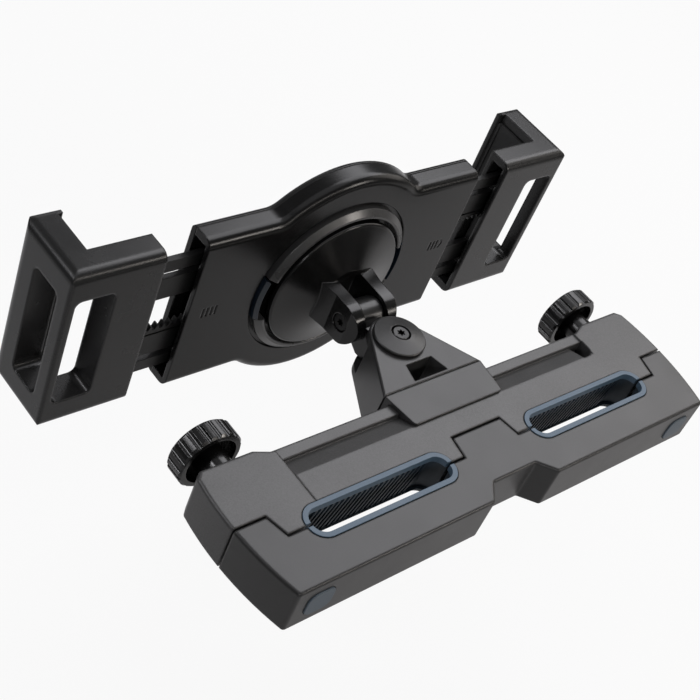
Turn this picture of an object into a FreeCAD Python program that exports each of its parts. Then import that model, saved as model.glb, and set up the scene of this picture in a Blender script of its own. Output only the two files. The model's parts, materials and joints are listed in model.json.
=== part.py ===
import FreeCAD, Part
import math
import os

# A tablet mount that clamps round the two posts of a car headrest.
# Frame, in millimetres: the origin is in the middle of the base, half way between the two post slots,
# on the line where the two jaws meet. X runs along the base, Y points back to the tablet holder, Z is up.

V = FreeCAD.Vector

# Base: two jaws that close on the headrest posts
BASE_T = 21.5            # height of both jaws
JAW_HALF = 119.4         # half length at the widest point of the bowed ends
BOW_Y = 10.0             # where the ends are widest
FRONT_Y = -22.5          # front wall
FRONT_HALF = JAW_HALF - 5.4   # half length along the front wall
BLOCK_Y = 35.8           # rear face of the two end blocks
BLOCK_HALF = JAW_HALF - 4.0   # half length along the rear face
BLOCK_CHAMFER = 2.8
STRIP_Y = 33.0           # rear face of the rail strip
JAW_GAP = 1.0            # open seam between the jaws at rest
JAW_TRAVEL = 10.0        # how far the front jaw opens
TAB_Y = 9.8              # how deep the front jaw's tabs reach into the rear jaw
END_TAB_X = JAW_HALF - 14.4    # inner edge of the end tabs, at their tips
END_TAB_FOOT = END_TAB_X - 2.6
MID_TAB_TIP = 13.8       # half width of the middle tab, at its tip
MID_TAB_FOOT = 15.6
TAB_CLEAR = 0.6
EDGE_R = 1.2             # rounding of the base's outer edges
CORNER_R = 1.5           # rounding of its upright corners
NOTCH_HALF = 12.0        # notch in the middle of the front wall
NOTCH_MOUTH = 18.5
NOTCH_Y = -15.0

SCREW_X = JAW_HALF - 17.9    # where the two clamp screws run

# Post slots and their rubber liners
SLOT_IN = 22.0           # inner end of a slot
SLOT_OUT = SCREW_X - 7.2     # outer end, clear of the clamp screw and its nut
SLOT_HALF = 7.1          # half width of the seat that the liners fill
LINER_FIT = 0.1
LINER_RIM = 2.2
LINER_WALL = 3.4         # wall under the rim, where the ribs stand
LINER_PROUD = 0.35
RIM_DEPTH = 2.6
RIB_PITCH = 2.75
RIB_W = 1.1
RIB_H = 0.75
RIB_START = 10.5         # from the slot's left end to the top of the first rib
RIB_REST = 3.5           # least length left plain at the right end
RIB_LEAN = 6.0           # how far a rib leans over its height
RIB_HOOK = 2.2           # height of the short leg at its top
RIB_COUNT = int((SLOT_OUT - SLOT_IN - RIB_START - RIB_REST) / RIB_PITCH)

# Rail and end cap
RAIL_HALF = 84.0         # half length of the channel
CHANNEL_Y = 19.8         # where the ramp starts
CHANNEL_BACK = 28.0      # front wall of the strip
CHANNEL_DEPTH = 2.8
POCKET_L = 6.5           # deep relief at the channel's right end
POCKET_DEPTH = 9.0
POCKET_R = 4.0
STRIP_DROP = 0.8         # the strip lies this much lower than the jaws
CAP_JOINT = 0.2          # seam between the rear jaw and its end cap
TENON = (10.0, 8.0, 10.0)
TENON_Y = 14.0

# Clamp screws, knobs and what goes with them
CLAMP_R = 3.0
BORE_CLEAR = 0.3
KNOB_R = 13.6
KNOB_Y = 43.8
KNOB_T = 8.8
KNOB_FLUTES = 20
FLUTE_R = 1.15
KNOB_BOSS_R = 6.2
KNOB_DISH_R = 10.8
KNOB_DISH = 4.5
WASHER_T = 1.0
CLAMP_FRONT = -18.0      # front end of the clamp screws
NUT_T = 5.5
NUT_FLAT = 10.0
NUT_Y = -8.2
RING_Y = 12.0            # collar that holds the screw in the rear jaw
PAD_SIZE = (12.4, 11.6)  # soft plugs over the screw bores in the front wall
PAD_DEPTH = 3.0
PAD_PROUD = 0.6
PIN_X = 7.5
PIN_R = 2.5
PIN_FRONT = -13.0
PIN_BACK = 29.0

# Carriage and arm
SLIDE_FIT = 0.3
CARRIAGE_FRONT = 19.6
CARRIAGE_BACK = 36.2
CARRIAGE_FRONT_HALF = 24.5
CARRIAGE_BACK_HALF = 26.8
CARRIAGE_RISE = 1.2      # how far the carriage stands above the jaws
CARRIAGE_CORNER_R = 2.0
ARM_GAP = 0.2
ARM_ROOT_HALF = 27.2
PAN_Y = 59.5             # vertical pivot
ARM_END_R = 12.4
ARM_EDGE = 0.9
WINDOW_NEAR_HALF = 9.2
WINDOW_FAR_HALF = 7.0
WINDOW_NEAR_Y = 38.0
WINDOW_FAR_Y = 46.3
ARM_SCREW_X = 18.0
ARM_SCREW_Z = 6.0
ARM_SCREW_END = 46.5
SCREW_R = 1.5
PAN_SCREW_R = 3.0
PAN_WASHER_T = 0.35
CAP_R = 11.3
CAP_RIM_Z = (12.5, 13.7)
CAP_TOP_Z = 15.4
CAP_WELL_R = 4.3
PAN_HEAD_R = 3.7

# Link between the two pivots
BOSS_R = 9.5
BOSS_HALF = 7.2
BOSS_CHAMFER = 1.6
TILT_Y = 80.8            # sideways pivot
TILT_Z = 5.0             # it also sets the height of the holder
BARREL_R = 7.4
BARREL_HALF = 5.8
TILT_SCREW_R = 2.5

# Hub: clevis and dome
EAR_R = 9.5
EAR_IN = 6.25
EAR_OUT = 12.3
EAR_FRONT_OUT = 10.2
EAR_FLARE = 14.4
FLARE_Y = 6.5            # the ears widen from this far behind the pivot
CLEVIS_BACK = 96.5
SCREW_WELL_R = 3.6
SCREW_WELL = 1.4
STAR_R = 1.75            # six-lobed sockets of the two pivot screws
STAR_LOBE_R = 0.42
DOME_R = 32.9
DOME_Y = 99.8
DOME_BACK = 102.4
DOME_NECK_R = 13.0
DOME_NECK_Y = 94.2
SPINDLE_R = 16.0

# Cradle
HOLD_Y = 104.6           # rear face of the cradle and of the grips
HOLD_HALF_Z = 39.6       # half height of the cradle and of the grips
HOLD_EDGE_R = 4.0
CRADLE_HALF = 73.0
CRADLE_T = 12.5
SHELL = 2.4
BULGE_R = 53.3
BULGE_FILLET = 9.0
FRONT_PLATE_T = 2.7
FRONT_EDGE_R = 2.4       # rounding of the cradle's front edges
CORNER_SCREW = (62.0, 33.6)
PILLAR_R = 3.4
PAD_STRIP = (60.0, 22.0, 5.0, 1.0)   # half length, place, half width and thickness
RING_OUT = 38.5
RING_IN = 34.5
RING_FRONT = 101.0
RING_CHAMFER = 2.6
RING_BACK = 106.2
WELL_R = 40.3
WELL_DEPTH = 1.6
TAB_HALF_DEG = 16.0
TAB_CLEAR_DEG = 1.2
TAB_TRAVEL = 2.0
PLATE_R = 24.0
PLATE_T = 1.8
PLATE_SCREW_R = 11.0     # circle of the turntable's screws
SLIDE_Y = 109.7
SLIDE_T = 2.6
MARK_X = 59.8            # first of the small dashes cut into the cradle's back
MARK_Z = 0.8
MARK_H = 5.0
MARK_W = 0.9
MARK_PITCH = 2.1
MARK_DEPTH = 0.35

# Slides, gear and grips
MODULE = 1.0
PINION_TEETH = 12
PINION_BORE = 1.6
RACK_BACK = 9.0
TONGUE = (10.0, 20.8)
RAIL_Z = (24.2, 30.0)
SLIDE_END = 30.0         # inner end of the tongues
RACK_END = 14.0          # how far a rack reaches past the middle
GRIP_OUT = 132.0
GRIP_IN = GRIP_OUT - 40.0
GRIP_T = 12.0
GRIP_WALL = 2.6
END_WALL_IN = GRIP_OUT - 12.4
GRIP_FRONT = 139.8
LIP_IN = GRIP_OUT - 15.0
LIP_T = 3.4
LIP_EDGE_R = 3.0
LIP_CORNER_R = 5.8       # round corner between the end wall and the lip
GRIP_CORNER_R = 1.2
WINDOW_IN = GRIP_OUT - 21.0
POST_IN = GRIP_OUT - 3.7
END_WINDOW = (111.0, 126.9)
WINDOW_HALF_Z = 26.7
WINDOW_R = 3.0
GRIP_PAD_T = 1.2
ROOT_FIT = 0.1           # between a slide's root and the hollow it sits in
ROOT_IN = GRIP_IN + 4.0
SLIDE_SCREW_Z = 27.0

TOP = BASE_T / 2
CARRIAGE_TOP = TOP + CARRIAGE_RISE
FAR = 200.0              # past everything, for blocks that only cut


def box(x0, x1, y0, y1, z0, z1):
    return Part.makeBox(x1 - x0, y1 - y0, z1 - z0, V(x0, y0, z0))


def rod_y(x, z, r, y0, y1):
    return Part.makeCylinder(r, y1 - y0, V(x, y0, z), V(0, 1, 0))


def rod_z(x, y, r, z0, z1):
    return Part.makeCylinder(r, z1 - z0, V(x, y, z0), V(0, 0, 1))


def rod_x(y, z, r, x0, x1):
    return Part.makeCylinder(r, x1 - x0, V(x0, y, z), V(1, 0, 0))


def closed_face(points):
    """A face from corner points; a corner written (mid, end) is an arc through mid."""
    edges, last = [], points[0]
    for item in points[1:] + [points[0]]:
        if isinstance(item, tuple):
            edges.append(Part.Arc(last, item[0], item[1]).toShape())
            last = item[1]
        else:
            if last.distanceToPoint(item) > 1e-6:
                edges.append(Part.LineSegment(last, item).toShape())
            last = item
    return Part.Face(Part.Wire(edges))


def plan(points, z0, z1):
    face = closed_face([V(x, y, z0) for x, y in points])
    return face.extrude(V(0, 0, z1 - z0))


def side(points, x0, x1):
    face = closed_face([V(x0, y, z) for y, z in points])
    return face.extrude(V(x1 - x0, 0, 0))


def elevation(points, y0, y1):
    face = closed_face([V(x, y0, z) for x, z in points])
    return face.extrude(V(0, y1 - y0, 0))


def hexagon(flat):
    r = flat / math.sqrt(3)
    return [(r * math.cos(math.radians(a)), r * math.sin(math.radians(a))) for a in range(0, 360, 60)]


def hex_y(x, z, flat, y0, y1):
    return elevation([(x + u, z + v) for u, v in hexagon(flat)], y0, y1)


def hex_z(x, y, flat, z0, z1):
    return plan([(x + u, y + v) for u, v in hexagon(flat)], z0, z1)


def star_z(x, y, z0, z1):
    """A six-lobed socket for a star key."""
    core = hex_z(x, y, 2 * (STAR_R - 1.5 * STAR_LOBE_R), z0, z1)
    lobes = []
    for i in range(6):
        a = math.radians(60 * i)
        r = STAR_R - STAR_LOBE_R
        lobes.append(rod_z(x + r * math.cos(a), y + r * math.sin(a), STAR_LOBE_R, z0, z1))
    return core.fuse(lobes)


def star_x(y, z, x0, x1):
    socket = star_z(0, 0, x0, x1)
    socket.rotate(V(0, 0, 0), V(0, 1, 0), 90)
    socket.translate(V(0, y, z))
    return socket


def mirrored(shape):
    return shape.mirror(V(0, 0, 0), V(1, 0, 0))


def both_sides(shape):
    return shape.fuse(mirrored(shape)).removeSplitter()


def edges_where(shape, test):
    return [e for e in shape.Edges if all(test(v.Point) for v in e.Vertexes)]


def rounded(shape, r, test):
    return shape.makeFillet(r, edges_where(shape, test))


def near(a, b):
    return abs(a - b) < 1e-4


def tangent(px, py, cx, cy, r):
    """Where the line from (px, py) touches the circle, on the side away from the middle."""
    d = math.hypot(px - cx, py - cy)
    a = math.atan2(py - cy, px - cx) + math.acos(r / d)
    return cx + r * math.cos(a), cy + r * math.sin(a)


def save(name, shape):
    os.makedirs("parts", exist_ok=True)
    shape.exportStep("parts/" + name + ".step")
    print(name, "solids", len(shape.Solids), "volume", round(shape.Volume), shape.isValid())


def base_block():
    """The whole base before the seam is cut: bowed ends, end blocks and the strip between them."""
    b, c = BLOCK_HALF, BLOCK_CHAMFER
    inner = RAIL_HALF + 1.6
    chamfer_in = inner + 6.5
    right = [V(FRONT_HALF, FRONT_Y, -TOP), (V(JAW_HALF, BOW_Y, -TOP), V(b + c, BLOCK_Y - c, -TOP)),
             V(b, BLOCK_Y, -TOP), V(chamfer_in, BLOCK_Y, -TOP), V(inner, STRIP_Y, -TOP)]
    left = [V(-inner, STRIP_Y, -TOP), V(-chamfer_in, BLOCK_Y, -TOP), V(-b, BLOCK_Y, -TOP),
            V(-b - c, BLOCK_Y - c, -TOP), (V(-JAW_HALF, BOW_Y, -TOP), V(-FRONT_HALF, FRONT_Y, -TOP))]
    m, n = NOTCH_MOUTH, NOTCH_HALF
    notch = [V(-m, FRONT_Y, -TOP), V(-n, NOTCH_Y, -TOP), V(n, NOTCH_Y, -TOP), V(m, FRONT_Y, -TOP)]
    block = closed_face(right + left + notch).extrude(V(0, 0, BASE_T))
    upright = [e for e in block.Edges if near(e.Vertexes[0].Z, -e.Vertexes[-1].Z)]
    block = block.makeFillet(CORNER_R, upright)
    flat = [e for e in block.Edges if near(abs(e.Vertexes[0].Z), TOP) and near(e.Vertexes[0].Z, e.Vertexes[-1].Z)]
    return block.makeFillet(EDGE_R, flat)


def seam_line(y_shift, slack):
    """Half of the seam, from the middle out to the end; slack narrows the front jaw's tabs."""
    return [(0, TAB_Y + y_shift), (MID_TAB_TIP - slack, TAB_Y + y_shift), (MID_TAB_FOOT - slack, y_shift),
            (END_TAB_FOOT + slack, y_shift), (END_TAB_X + slack, TAB_Y + y_shift),
            (JAW_HALF + 5, TAB_Y + y_shift)]


def behind_seam():
    line = seam_line(0, 0)
    far = BLOCK_Y + 5
    return plan([(-x, y) for x, y in reversed(line[1:])] + line + [(JAW_HALF + 5, far), (-JAW_HALF - 5, far)],
                -TOP - 1, TOP + 1)


def before_seam():
    line = seam_line(-JAW_GAP, TAB_CLEAR)
    far = FRONT_Y - 5
    return plan([(-x, y) for x, y in reversed(line[1:])] + line + [(JAW_HALF + 5, far), (-JAW_HALF - 5, far)],
                -TOP - 1, TOP + 1)


def long_hole(inset, y_shift, z0, z1):
    """A round-ended hole in line with the right slot, smaller than its seat by inset."""
    r = SLOT_HALF - inset
    x0, x1 = SLOT_IN + SLOT_HALF, SLOT_OUT - SLOT_HALF
    face = closed_face([V(x0, y_shift - r, z0), V(x1, y_shift - r, z0),
                        (V(x1 + r, y_shift, z0), V(x1, y_shift + r, z0)), V(x0, y_shift + r, z0),
                        (V(x0 - r, y_shift, z0), V(x0, y_shift - r, z0))])
    return face.extrude(V(0, 0, z1 - z0))


def slot_seats(y_shift):
    return both_sides(long_hole(0, y_shift, -TOP - 1, TOP + 1))


def channel():
    """The ramps above and below that leave the rail strip, and the drop of the strip's faces."""
    low = TOP - CHANNEL_DEPTH
    far = STRIP_Y + 0.01
    ramp = side([(CHANNEL_Y, TOP), (CHANNEL_Y, TOP + 2), (far + 3, TOP + 2), (far + 3, TOP - STRIP_DROP),
                 (CHANNEL_BACK, TOP - STRIP_DROP), (CHANNEL_BACK, low)], -RAIL_HALF, RAIL_HALF)
    return ramp.fuse(ramp.mirror(V(0, 0, 0), V(0, 0, 1)))


def rail_pocket():
    """The deep relief at the right end of the upper ramp, round at its front corner."""
    hole = box(RAIL_HALF - POCKET_L, RAIL_HALF + 0.5, CHANNEL_Y, CHANNEL_BACK, TOP - POCKET_DEPTH, TOP + 1)
    return rounded(hole, POCKET_R, lambda p: near(p.y, CHANNEL_Y) and near(p.x, RAIL_HALF + 0.5))


def clamp_bore(r, y0, y1):
    return rod_y(SCREW_X, 0, r, y0, y1).fuse(rod_y(-SCREW_X, 0, r, y0, y1))


def guide_bores(r, y0, y1):
    return rod_y(PIN_X, 0, r, y0, y1).fuse(rod_y(-PIN_X, 0, r, y0, y1))


def tenon(grow):
    length, width, height = TENON
    return box(-RAIL_HALF - 3 - grow, -RAIL_HALF + length + grow, TENON_Y - width / 2 - grow,
               TENON_Y + width / 2 + grow, -height / 2 - grow, height / 2 + grow)


def end_cap_screw_parts():
    """The bore and the screw that lock the end cap's tenon, from below."""
    x = -RAIL_HALF + TENON[0] / 2
    bore = rod_z(x, TENON_Y, SCREW_R, -TOP - 1, TENON[2] / 2 - 1)
    sink = rod_z(x, TENON_Y, 2 * SCREW_R, -TOP - 1, -TOP + 2)
    screw = rod_z(x, TENON_Y, SCREW_R, -TOP + 1, TENON[2] / 2 - 1)
    head = rod_z(x, TENON_Y, 2 * SCREW_R - 0.2, -TOP + 0.3, -TOP + 2)
    return bore.fuse(sink), screw.fuse(head).cut(hex_z(x, TENON_Y, 2.5, -TOP, -TOP + 1.5)).removeSplitter()


def rear_jaw_whole():
    body = base_block().common(behind_seam()).cut(slot_seats(0)).cut(channel()).cut(rail_pocket())
    body = body.cut(clamp_bore(CLAMP_R + BORE_CLEAR, -1, BLOCK_Y + 1))
    body = body.cut(clamp_bore(CLAMP_R + 2 + BORE_CLEAR, RING_Y - 0.3, RING_Y + 2.3))
    return body.cut(guide_bores(PIN_R + BORE_CLEAR, 0, PIN_BACK + 1.5))


def make_rear_jaw():
    whole = rear_jaw_whole()
    bore, screw = end_cap_screw_parts()
    cut_x = -RAIL_HALF
    right = box(cut_x + CAP_JOINT / 2, JAW_HALF + 5, -5, BLOCK_Y + 5, -TOP - 1, TOP + 1)
    left = box(-JAW_HALF - 5, cut_x - CAP_JOINT / 2, -5, BLOCK_Y + 5, -TOP - 1, TOP + 1)
    save("rear_jaw", whole.common(right).cut(tenon(0.1)).cut(bore).removeSplitter())
    save("rail_end_cap", whole.common(left).fuse(tenon(0)).cut(bore).removeSplitter())
    save("end_cap_screw", screw)


def pad_outline(x, grow):
    w, h, r = PAD_SIZE[0] / 2 + grow, PAD_SIZE[1] / 2 + grow, PAD_SIZE[1] / 3
    k = r * (1 - math.sqrt(0.5))
    y = FRONT_Y
    return [V(x - w + r, y, -h), V(x + w - r, y, -h), (V(x + w - k, y, -h + k), V(x + w, y, -h + r)),
            V(x + w, y, h - r), (V(x + w - k, y, h - k), V(x + w - r, y, h)), V(x - w + r, y, h),
            (V(x - w + k, y, h - k), V(x - w, y, h - r)), V(x - w, y, -h + r),
            (V(x - w + k, y, -h + k), V(x - w + r, y, -h))]


def corner_pad(x, grow, y0, y1):
    face = closed_face(pad_outline(x, grow))
    face.translate(V(0, y0 - FRONT_Y, 0))
    return face.extrude(V(0, y1 - y0, 0))


def make_front_jaw():
    body = base_block().common(before_seam()).cut(slot_seats(-JAW_GAP))
    body = body.cut(clamp_bore(CLAMP_R + BORE_CLEAR, CLAMP_FRONT - 1, TAB_Y + 1))
    body = body.cut(guide_bores(PIN_R, PIN_FRONT, TAB_Y + 1))
    for x in (-SCREW_X, SCREW_X):
        body = body.cut(hex_y(x, 0, NUT_FLAT + 0.2, NUT_Y - 0.1, TAB_Y + 1))
        body = body.cut(corner_pad(x, 0.1, FRONT_Y - 1, FRONT_Y + PAD_DEPTH))
    save("front_jaw", body.removeSplitter())
    for name, x in (("left", -SCREW_X), ("right", SCREW_X)):
        pad = corner_pad(x, 0, FRONT_Y - PAD_PROUD, FRONT_Y + PAD_DEPTH - 0.1)
        pad = rounded(pad, PAD_PROUD * 0.8, lambda p: near(p.y, FRONT_Y - PAD_PROUD))
        save("corner_pad_" + name, pad)
        nut = hex_y(x, 0, NUT_FLAT, NUT_Y, NUT_Y + NUT_T).cut(rod_y(x, 0, CLAMP_R + 0.05, NUT_Y - 1, 0))
        save("clamp_nut_" + name, nut)
        pin_x = math.copysign(PIN_X, x)
        save("guide_pin_" + name, rod_y(pin_x, 0, PIN_R - 0.02, PIN_FRONT + 0.1, PIN_BACK))


def rib(x, y_wall, sign):
    """One leaning rib with a short leg turned back at its top; sign is +1 on the rear liner."""
    z1 = TOP - RIM_DEPTH
    z0 = -TOP + RIM_DEPTH
    bend = z1 - RIB_HOOK
    pts = [(x, bend), (x - 0.6 * RIB_HOOK, z1), (x - 0.6 * RIB_HOOK + RIB_W, z1), (x + RIB_W, bend),
           (x - RIB_LEAN + RIB_W, z0), (x - RIB_LEAN, z0)]
    y_in = y_wall - sign * RIB_H
    lo, hi = min(y_wall + sign * 0.3, y_in), max(y_wall + sign * 0.3, y_in)
    return elevation(pts, lo, hi)


def liner(sign):
    """Half of the lining of the right slot, in the rear jaw for sign +1 and in the front jaw for -1."""
    shift = 0 if sign > 0 else -JAW_GAP
    z = TOP + LINER_PROUD
    ring = long_hole(LINER_FIT, shift, -z, z).cut(long_hole(LINER_RIM, shift, -z - 1, z + 1))
    under = long_hole(LINER_RIM - 1.4, shift, -TOP + RIM_DEPTH, TOP - RIM_DEPTH)
    ring = ring.cut(under.common(box(SLOT_IN, SLOT_OUT, -FAR, FAR, -TOP, TOP)))
    y0, y1 = (shift + 0.15, FAR) if sign > 0 else (-FAR, shift - 0.15)
    half = ring.common(box(SLOT_IN - 5, SLOT_OUT + 5, y0, y1, -z - 1, z + 1))
    wall = shift + sign * (SLOT_HALF - LINER_RIM + 1.4)
    ribs = [rib(SLOT_IN + RIB_START + i * RIB_PITCH, wall, sign) for i in range(RIB_COUNT)]
    keep = long_hole(LINER_FIT, shift, -z, z)
    return half.fuse([r.common(keep) for r in ribs]).removeSplitter()


def make_liners():
    for where, sign in (("rear", 1), ("front", -1)):
        right = liner(sign)
        save(where + "_liner_right", right)
        save(where + "_liner_left", right.translated(V(-SLOT_IN - SLOT_OUT, 0, 0)))


def knob(x):
    y0, y1 = KNOB_Y, KNOB_Y + KNOB_T
    body = rod_y(x, 0, KNOB_R, y0, y1)
    body = body.makeChamfer(0.9, [e for e in body.Edges if e.Curve.TypeId == "Part::GeomCircle"])
    for i in range(KNOB_FLUTES):
        a = 2 * math.pi * i / KNOB_FLUTES
        body = body.cut(rod_y(x + (KNOB_R + 0.25) * math.cos(a), (KNOB_R + 0.25) * math.sin(a), FLUTE_R,
                              y0 - 1, y1 + 1))
    body = body.cut(rod_y(x, 0, KNOB_DISH_R, y0 - 1, y0 + KNOB_DISH))
    boss = rod_y(x, 0, KNOB_BOSS_R, BLOCK_Y + WASHER_T + 0.3, y0 + KNOB_DISH + 0.5)
    body = body.fuse(boss).cut(rod_y(x, 0, CLAMP_R + 0.02, BLOCK_Y, y1 - 2))
    return body.cut(rod_y(x, 0, KNOB_DISH_R - 2, y1 - 0.8, y1 + 1)).removeSplitter()


def make_clamps():
    for name, x in (("left", -SCREW_X), ("right", SCREW_X)):
        save("knob_" + name, knob(x))
        save("clamp_screw_" + name, rod_y(x, 0, CLAMP_R, CLAMP_FRONT, KNOB_Y + KNOB_T - 2.1))
        washer = rod_y(x, 0, KNOB_BOSS_R, BLOCK_Y + 0.05, BLOCK_Y + 0.05 + WASHER_T)
        save("thrust_washer_" + name, washer.cut(rod_y(x, 0, CLAMP_R + BORE_CLEAR, BLOCK_Y - 1, BLOCK_Y + 3)))
        ring = rod_y(x, 0, CLAMP_R + 1.7, RING_Y, RING_Y + 2).cut(rod_y(x, 0, CLAMP_R + 0.02, 0, BLOCK_Y))
        save("screw_collar_" + name, ring)


def carriage():
    """A C-shaped shoe that hooks over the rail strip from above, behind and below."""
    slope = CHANNEL_DEPTH / (CHANNEL_BACK - CHANNEL_Y)
    c, z = SLIDE_FIT, CARRIAGE_TOP
    hook_y = CHANNEL_BACK - c
    lip = TOP + c
    start = CHANNEL_Y + 0.1
    hook_z = lip - slope * (hook_y - start) + 0.1
    upper = [(CARRIAGE_FRONT, z), (CARRIAGE_FRONT, lip), (start, lip), (hook_y, hook_z),
             (hook_y, TOP - STRIP_DROP + c), (STRIP_Y + c, TOP - STRIP_DROP + c)]
    lower = [(y, -v) for y, v in reversed(upper)]
    body = side(upper + lower + [(CARRIAGE_BACK, -z), (CARRIAGE_BACK, z)],
                -CARRIAGE_BACK_HALF - 1, CARRIAGE_BACK_HALF + 1)
    f, b = CARRIAGE_FRONT_HALF, CARRIAGE_BACK_HALF
    outline = plan([(-f, CARRIAGE_FRONT), (f, CARRIAGE_FRONT), (b, CARRIAGE_BACK), (-b, CARRIAGE_BACK)],
                   -z - 1, z + 1)
    outline = rounded(outline, CARRIAGE_CORNER_R, lambda p: near(p.y, CARRIAGE_FRONT))
    return body.common(outline)


def arm_screws(r, grow, y1):
    shape = None
    for x in (-ARM_SCREW_X, ARM_SCREW_X):
        for z in (-ARM_SCREW_Z, ARM_SCREW_Z):
            y0 = STRIP_Y + SLIDE_FIT
            one = rod_y(x, z, r, y0 + 0.2 - grow, y1)
            head = Part.makeCone(2 * SCREW_R + grow, r, 1.6, V(x, y0 + 0.15 - grow, z), V(0, 1, 0))
            one = one.fuse(head)
            shape = one if shape is None else shape.fuse(one)
    return shape


def arm():
    y0 = CARRIAGE_BACK + ARM_GAP
    tx, ty = tangent(ARM_ROOT_HALF, y0, 0, PAN_Y, ARM_END_R)
    z = CARRIAGE_TOP
    far = V(0, PAN_Y + ARM_END_R, -z)
    face = closed_face([V(-ARM_ROOT_HALF, y0, -z), V(ARM_ROOT_HALF, y0, -z), V(tx, ty, -z),
                        (far, V(-tx, ty, -z))])
    body = face.extrude(V(0, 0, 2 * z))
    flat = [e for e in body.Edges if near(abs(e.Vertexes[0].Z), z) and near(e.Vertexes[0].Z, e.Vertexes[-1].Z)]
    body = body.makeFillet(ARM_EDGE, flat)
    gap = BOSS_HALF + PAN_WASHER_T + 0.05
    clear = BOSS_R + 0.5
    body = body.cut(rod_z(0, PAN_Y, clear, -gap, gap))
    body = body.cut(box(-30, 30, PAN_Y + 3.5, PAN_Y + 30, -gap, gap))
    body = body.cut(rod_z(0, PAN_Y, PAN_SCREW_R + 0.05, -z - 1, z + 1))
    n, f = WINDOW_NEAR_HALF, WINDOW_FAR_HALF
    window = plan([(-n, WINDOW_NEAR_Y), (n, WINDOW_NEAR_Y), (f, WINDOW_FAR_Y), (-f, WINDOW_FAR_Y)], -z - 1, z + 1)
    return body.cut(window).cut(arm_screws(SCREW_R + 0.02, 0, ARM_SCREW_END + 0.5)).removeSplitter()


def revolve(profile, origin, axis, x_dir):
    """Turn a closed (radius, height) outline about the axis through origin."""
    pts = [origin + x_dir * r + axis * h for r, h in profile]
    face = closed_face(pts)
    return face.revolve(origin, axis, 360)


def pivot_cap():
    rim0, rim1 = CAP_RIM_Z
    z = CARRIAGE_TOP
    profile = [(PAN_SCREW_R + 0.05, z), (CAP_R - 2.5, z), (CAP_R - 2.0, rim0), (CAP_R - 0.4, rim0),
               (CAP_R, rim0 + 0.4), (CAP_R, rim1 - 0.4), (CAP_R - 0.4, rim1), (CAP_WELL_R, CAP_TOP_Z),
               (CAP_WELL_R, rim0 + 0.4), (PAN_SCREW_R + 0.05, rim0 + 0.4)]
    return revolve(profile, V(0, PAN_Y, 0), V(0, 0, 1), V(1, 0, 0))


def pan_screw():
    head_z = CAP_RIM_Z[0] + 0.4
    top = CAP_TOP_Z - 0.1
    profile = [(0, -CARRIAGE_TOP - 4.4), (PAN_SCREW_R, -CARRIAGE_TOP - 4.4), (PAN_SCREW_R, head_z),
               (PAN_HEAD_R, head_z), (PAN_HEAD_R, top - 0.4), (PAN_HEAD_R - 0.4, top), (0, top)]
    body = revolve(profile, V(0, PAN_Y, 0), V(0, 0, 1), V(1, 0, 0))
    return body.cut(star_z(0, PAN_Y, top - 2, top + 1))


def make_carriage():
    save("carriage", carriage().cut(arm_screws(SCREW_R + 0.02, 0.02, ARM_SCREW_END + 0.5)))
    save("arm", arm())
    save("arm_screws", arm_screws(SCREW_R, 0, ARM_SCREW_END).cut(
        Part.makeCompound([hex_y(x, z, 2.0, STRIP_Y, STRIP_Y + 1.4)
                           for x in (-ARM_SCREW_X, ARM_SCREW_X) for z in (-ARM_SCREW_Z, ARM_SCREW_Z)])))
    save("pivot_cap", pivot_cap())
    save("pivot_screw", pan_screw())
    nut = hex_z(0, PAN_Y, 9.8, -CARRIAGE_TOP - 3.8, -CARRIAGE_TOP - 0.05)
    save("pivot_nut", nut.cut(rod_z(0, PAN_Y, PAN_SCREW_R + 0.03, -30, 0)))
    washers = []
    for s in (-1, 1):
        z0, z1 = sorted((s * (BOSS_HALF + 0.05), s * (BOSS_HALF + 0.05 + PAN_WASHER_T)))
        washers.append(rod_z(0, PAN_Y, BOSS_R - 1.8, z0, z1).cut(rod_z(0, PAN_Y, PAN_SCREW_R + 0.1, z0, z1)))
    save("pan_washers", Part.makeCompound(washers))


def make_link():
    boss = rod_z(0, PAN_Y, BOSS_R, -BOSS_HALF, BOSS_HALF)
    boss = boss.makeChamfer(BOSS_CHAMFER, [e for e in boss.Edges if e.Curve.TypeId == "Part::GeomCircle"])
    out = PAN_Y + ARM_END_R + 0.5
    neck = side([(PAN_Y + 2, -BOSS_HALF), (out, -BOSS_HALF), (TILT_Y, TILT_Z - BARREL_R + 0.2),
                 (TILT_Y, TILT_Z + BARREL_R - 0.2), (TILT_Y - 3.2, TILT_Z + BARREL_R - 0.8),
                 (out, BOSS_HALF), (PAN_Y + 2, BOSS_HALF)], -BARREL_HALF + 0.4, BARREL_HALF - 0.4)
    barrel = rod_x(TILT_Y, TILT_Z, BARREL_R, -BARREL_HALF, BARREL_HALF)
    link = boss.fuse([neck, barrel]).cut(rod_z(0, PAN_Y, PAN_SCREW_R + 0.05, -20, 20))
    save("link", link.cut(rod_x(TILT_Y, TILT_Z, TILT_SCREW_R + 0.05, -20, 20)).removeSplitter())


def clevis():
    """Two ears that hold the link's barrel, with a flat and two facets on each outer side."""
    half = [(0, TILT_Y - EAR_R - 1), (EAR_FRONT_OUT, TILT_Y - EAR_R - 1), (EAR_OUT, TILT_Y - 4.0),
            (EAR_OUT, TILT_Y + FLARE_Y), (EAR_FLARE, DOME_Y - 1), (0, DOME_Y - 1)]
    outline = both_sides(plan(half, TILT_Z - 20, TILT_Z + 20))
    shape = rod_x(TILT_Y, TILT_Z, EAR_R, -20, 20).fuse(
        box(-20, 20, TILT_Y, DOME_Y - 2, TILT_Z - EAR_R, TILT_Z + EAR_R))
    return shape.common(outline)


def clevis_slot():
    """The room between the ears, sunk a little into the dome."""
    return box(-EAR_IN, EAR_IN, TILT_Y - 20, CLEVIS_BACK, TILT_Z - EAR_R, TILT_Z + EAR_R)


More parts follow.
